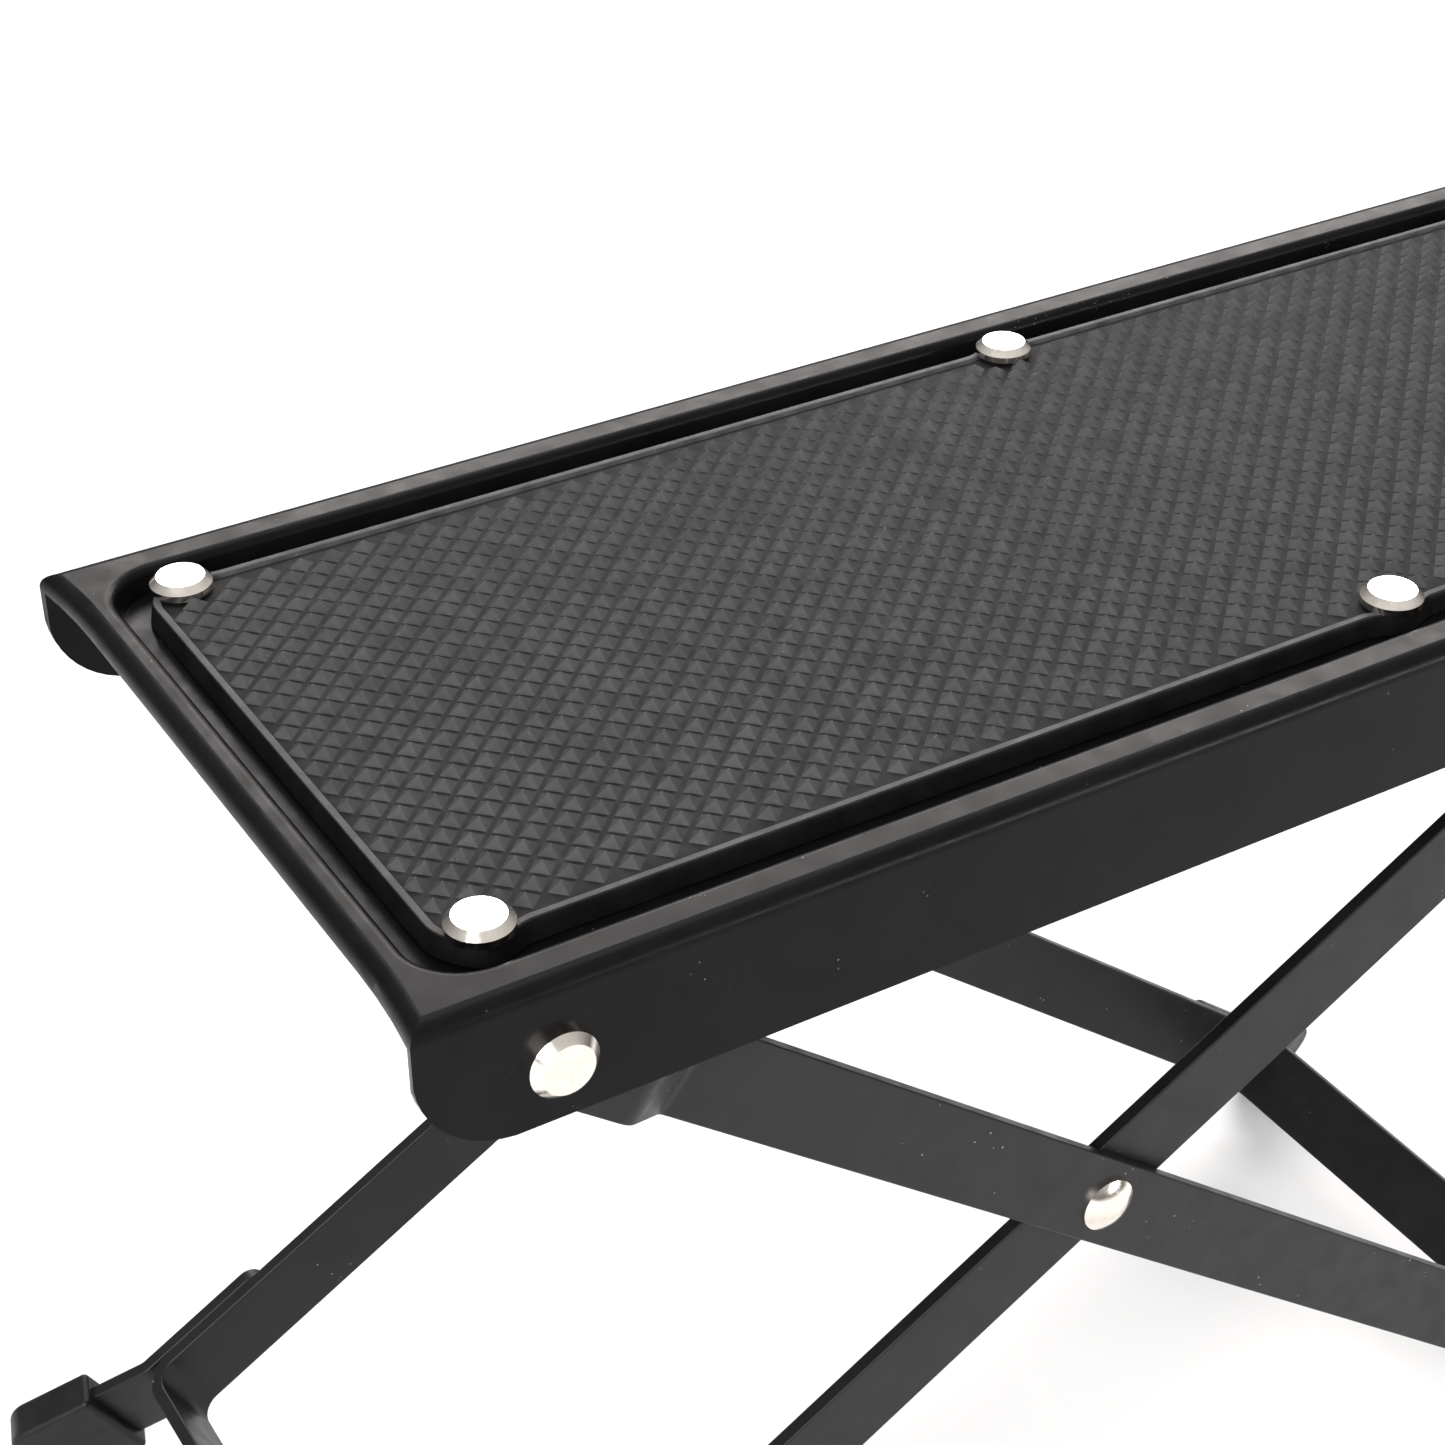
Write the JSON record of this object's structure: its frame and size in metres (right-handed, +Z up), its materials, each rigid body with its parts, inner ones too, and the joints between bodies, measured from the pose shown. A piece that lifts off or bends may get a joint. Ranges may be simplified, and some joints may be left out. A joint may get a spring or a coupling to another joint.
{
  "type": "folding foot step",
  "caption": "Folding foot step: a pressed steel deck with a studded rubber tread mat on two crossed leg frames that fold up nearly flat under it, with a notched height lock.",
  "frame": {"origin": "on the floor, on the centreline, under the middle of the overall length", "axes": "+X along the step towards its raised end, +Y to the rear side, +Z up"},
  "size_m": [0.2891, 0.117, 0.1935],
  "materials": {
    "deck_paint": "satin black powder coat",
    "leg_paint": "satin charcoal black paint",
    "tread_rubber": "matte",
    "boot_rubber": "matte",
    "rivet_nickel": "bright nickel",
    "zinc_steel": "zinc plated"
  },
  "bodies": {
    "deck": {"deck": "deck_paint", "tread_mat": "tread_rubber", "mat_rivets": "rivet_nickel", "pivot_rivets": "rivet_nickel", "pivot_washers": "zinc_steel", "lock_rack_front": "deck_paint", "lock_rack_rear": "deck_paint"},
    "outer_legs": {"outer_leg_frame": "leg_paint", "outer_foot_tab_front": "leg_paint", "outer_foot_tab_rear": "leg_paint", "outer_boot_front": "boot_rubber", "outer_boot_rear": "boot_rubber", "crossing_rivets": "rivet_nickel", "crossing_washers": "zinc_steel"},
    "inner_legs": {"inner_leg_frame": "leg_paint", "inner_foot_tab_front": "leg_paint", "inner_foot_tab_rear": "leg_paint", "inner_boot_front": "boot_rubber", "inner_boot_rear": "boot_rubber", "lock_pin": "zinc_steel"}
  },
  "joints": [
    {"name": "outer_leg_fold", "type": "hinge", "parent": "deck", "child": "outer_legs", "pos_m": [-0.12075, 0, 0.14663], "axis": [0, -1, 0], "range_deg": [0, 34.6], "stiffness_Nm_per_rad": 150},
    {"name": "inner_leg_fold", "type": "hinge", "parent": "outer_legs", "child": "inner_legs", "pos_m": [-0.0284, 0, 0.09122], "axis": [0, -1, 0], "range_deg": [-61.6, 0]}
  ],
  "couplings": [
    {"joint": "inner_leg_fold", "follows": "outer_leg_fold", "ratio": -1.777}
  ]
}
